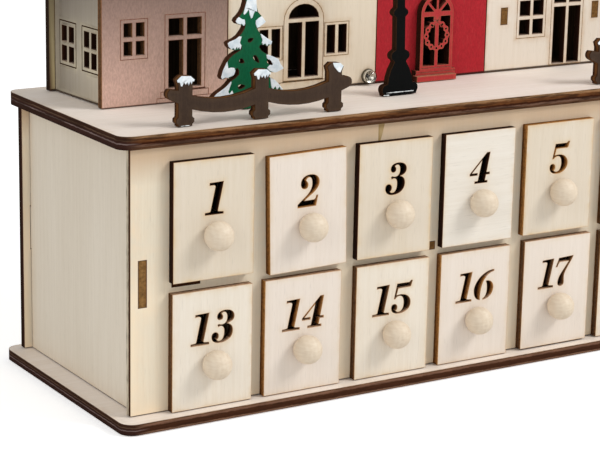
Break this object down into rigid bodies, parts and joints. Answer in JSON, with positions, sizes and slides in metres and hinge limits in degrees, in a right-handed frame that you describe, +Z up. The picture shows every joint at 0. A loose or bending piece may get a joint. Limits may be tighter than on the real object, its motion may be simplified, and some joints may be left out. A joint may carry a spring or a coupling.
{
  "type": "advent calendar",
  "caption": "Long plywood advent calendar: two rows of small pull-out drawers under a lid that carries a snowy street of houses, fences, fir trees and lamp posts.",
  "frame": {"origin": "centre of the bounding box's bottom, under the base plate", "axes": "+X along the rows of drawers from the first to the last, -Y out of the drawer fronts, +Z up"},
  "size_m": [0.4908, 0.1074, 0.1982],
  "materials": {
    "base_plate": "bare, laser-cut edges",
    "top_plate": "bare, laser-cut edges",
    "front_panel": "bare, laser-cut edges",
    "back_panel": "bare, laser-cut edges",
    "side_panel_left": "bare, laser-cut edges",
    "side_panel_right": "bare, laser-cut edges",
    "drawer_grid": "bare, laser-cut edges",
    "house_front_1": "matt paint",
    "house_front_2": "bare, laser-cut edges",
    "house_front_3": "matt paint",
    "house_front_4": "bare, laser-cut edges",
    "house_front_5": "matt paint",
    "house_front_6": "bare, laser-cut edges",
    "house_front_7": "matt paint",
    "house_front_8": "bare, laser-cut edges",
    "street_back": "bare, laser-cut edges",
    "end_wall_left": "bare, laser-cut edges",
    "end_wall_right": "bare, laser-cut edges",
    "roof_1": "matt paint",
    "roof_2": "matt paint",
    "roof_3": "matt paint",
    "roof_4": "matt paint",
    "roof_5": "matt paint",
    "roof_6": "matt paint",
    "roof_7": "matt paint",
    "roof_8": "matt paint",
    "door_layer": "matt paint",
    "fence_1": "matt paint",
    "fence_2": "matt paint",
    "fence_3": "matt paint",
    "tree_1": "matt paint",
    "tree_2": "matt paint",
    "lamp_post_1": "matt paint",
    "lamp_post_2": "matt paint",
    "led_light": "clear gloss",
    "drawer_01": "bare, laser-cut edges",
    "drawer_02": "bare, laser-cut edges",
    "drawer_03": "bare, laser-cut edges",
    "drawer_04": "bare, laser-cut edges",
    "drawer_05": "bare, laser-cut edges",
    "drawer_06": "bare, laser-cut edges",
    "drawer_07": "bare, laser-cut edges",
    "drawer_08": "bare, laser-cut edges",
    "drawer_09": "bare, laser-cut edges",
    "drawer_10": "bare, laser-cut edges",
    "drawer_11": "bare, laser-cut edges",
    "drawer_12": "bare, laser-cut edges",
    "drawer_13": "bare, laser-cut edges",
    "drawer_14": "bare, laser-cut edges",
    "drawer_15": "bare, laser-cut edges",
    "drawer_16": "bare, laser-cut edges",
    "drawer_17": "bare, laser-cut edges",
    "drawer_18": "bare, laser-cut edges",
    "drawer_19": "bare, laser-cut edges",
    "drawer_20": "bare, laser-cut edges",
    "drawer_21": "bare, laser-cut edges",
    "drawer_22": "bare, laser-cut edges",
    "drawer_23": "bare, laser-cut edges",
    "drawer_24": "bare, laser-cut edges"
  },
  "bodies": {
    "case": {"base_plate": "base_plate", "top_plate": "top_plate", "front_panel": "front_panel", "back_panel": "back_panel", "side_panel_left": "side_panel_left", "side_panel_right": "side_panel_right", "drawer_grid": "drawer_grid", "house_front_1": "house_front_1", "house_front_2": "house_front_2", "house_front_3": "house_front_3", "house_front_4": "house_front_4", "house_front_5": "house_front_5", "house_front_6": "house_front_6", "house_front_7": "house_front_7", "house_front_8": "house_front_8", "street_back": "street_back", "end_wall_left": "end_wall_left", "end_wall_right": "end_wall_right", "roof_1": "roof_1", "roof_2": "roof_2", "roof_3": "roof_3", "roof_4": "roof_4", "roof_5": "roof_5", "roof_6": "roof_6", "roof_7": "roof_7", "roof_8": "roof_8", "door_layer": "door_layer", "fence_1": "fence_1", "fence_2": "fence_2", "fence_3": "fence_3", "tree_1": "tree_1", "tree_2": "tree_2", "lamp_post_1": "lamp_post_1", "lamp_post_2": "lamp_post_2", "led_light": "led_light"},
    "pull_01": {"drawer_01": "drawer_01"},
    "pull_02": {"drawer_02": "drawer_02"},
    "pull_03": {"drawer_03": "drawer_03"},
    "pull_04": {"drawer_04": "drawer_04"},
    "pull_05": {"drawer_05": "drawer_05"},
    "pull_06": {"drawer_06": "drawer_06"},
    "pull_07": {"drawer_07": "drawer_07"},
    "pull_08": {"drawer_08": "drawer_08"},
    "pull_09": {"drawer_09": "drawer_09"},
    "pull_10": {"drawer_10": "drawer_10"},
    "pull_11": {"drawer_11": "drawer_11"},
    "pull_12": {"drawer_12": "drawer_12"},
    "pull_13": {"drawer_13": "drawer_13"},
    "pull_14": {"drawer_14": "drawer_14"},
    "pull_15": {"drawer_15": "drawer_15"},
    "pull_16": {"drawer_16": "drawer_16"},
    "pull_17": {"drawer_17": "drawer_17"},
    "pull_18": {"drawer_18": "drawer_18"},
    "pull_19": {"drawer_19": "drawer_19"},
    "pull_20": {"drawer_20": "drawer_20"},
    "pull_21": {"drawer_21": "drawer_21"},
    "pull_22": {"drawer_22": "drawer_22"},
    "pull_23": {"drawer_23": "drawer_23"},
    "pull_24": {"drawer_24": "drawer_24"}
  },
  "joints": [
    {"name": "drawer_01_slide", "type": "slide", "parent": "case", "child": "pull_01", "axis": [0, -1, 0], "range_m": [0, 0.068]},
    {"name": "drawer_02_slide", "type": "slide", "parent": "case", "child": "pull_02", "axis": [0, -1, 0], "range_m": [0, 0.068]},
    {"name": "drawer_03_slide", "type": "slide", "parent": "case", "child": "pull_03", "axis": [0, -1, 0], "range_m": [0, 0.068]},
    {"name": "drawer_04_slide", "type": "slide", "parent": "case", "child": "pull_04", "axis": [0, -1, 0], "range_m": [0, 0.068]},
    {"name": "drawer_05_slide", "type": "slide", "parent": "case", "child": "pull_05", "axis": [0, -1, 0], "range_m": [0, 0.068]},
    {"name": "drawer_06_slide", "type": "slide", "parent": "case", "child": "pull_06", "axis": [0, -1, 0], "range_m": [0, 0.068]},
    {"name": "drawer_07_slide", "type": "slide", "parent": "case", "child": "pull_07", "axis": [0, -1, 0], "range_m": [0, 0.068]},
    {"name": "drawer_08_slide", "type": "slide", "parent": "case", "child": "pull_08", "axis": [0, -1, 0], "range_m": [0, 0.068]},
    {"name": "drawer_09_slide", "type": "slide", "parent": "case", "child": "pull_09", "axis": [0, -1, 0], "range_m": [0, 0.068]},
    {"name": "drawer_10_slide", "type": "slide", "parent": "case", "child": "pull_10", "axis": [0, -1, 0], "range_m": [0, 0.068]},
    {"name": "drawer_11_slide", "type": "slide", "parent": "case", "child": "pull_11", "axis": [0, -1, 0], "range_m": [0, 0.068]},
    {"name": "drawer_12_slide", "type": "slide", "parent": "case", "child": "pull_12", "axis": [0, -1, 0], "range_m": [0, 0.068]},
    {"name": "drawer_13_slide", "type": "slide", "parent": "case", "child": "pull_13", "axis": [0, -1, 0], "range_m": [0, 0.068]},
    {"name": "drawer_14_slide", "type": "slide", "parent": "case", "child": "pull_14", "axis": [0, -1, 0], "range_m": [0, 0.068]},
    {"name": "drawer_15_slide", "type": "slide", "parent": "case", "child": "pull_15", "axis": [0, -1, 0], "range_m": [0, 0.068]},
    {"name": "drawer_16_slide", "type": "slide", "parent": "case", "child": "pull_16", "axis": [0, -1, 0], "range_m": [0, 0.068]},
    {"name": "drawer_17_slide", "type": "slide", "parent": "case", "child": "pull_17", "axis": [0, -1, 0], "range_m": [0, 0.068]},
    {"name": "drawer_18_slide", "type": "slide", "parent": "case", "child": "pull_18", "axis": [0, -1, 0], "range_m": [0, 0.068]},
    {"name": "drawer_19_slide", "type": "slide", "parent": "case", "child": "pull_19", "axis": [0, -1, 0], "range_m": [0, 0.068]},
    {"name": "drawer_20_slide", "type": "slide", "parent": "case", "child": "pull_20", "axis": [0, -1, 0], "range_m": [0, 0.068]},
    {"name": "drawer_21_slide", "type": "slide", "parent": "case", "child": "pull_21", "axis": [0, -1, 0], "range_m": [0, 0.068]},
    {"name": "drawer_22_slide", "type": "slide", "parent": "case", "child": "pull_22", "axis": [0, -1, 0], "range_m": [0, 0.068]},
    {"name": "drawer_23_slide", "type": "slide", "parent": "case", "child": "pull_23", "axis": [0, -1, 0], "range_m": [0, 0.068]},
    {"name": "drawer_24_slide", "type": "slide", "parent": "case", "child": "pull_24", "axis": [0, -1, 0], "range_m": [0, 0.068]}
  ]
}
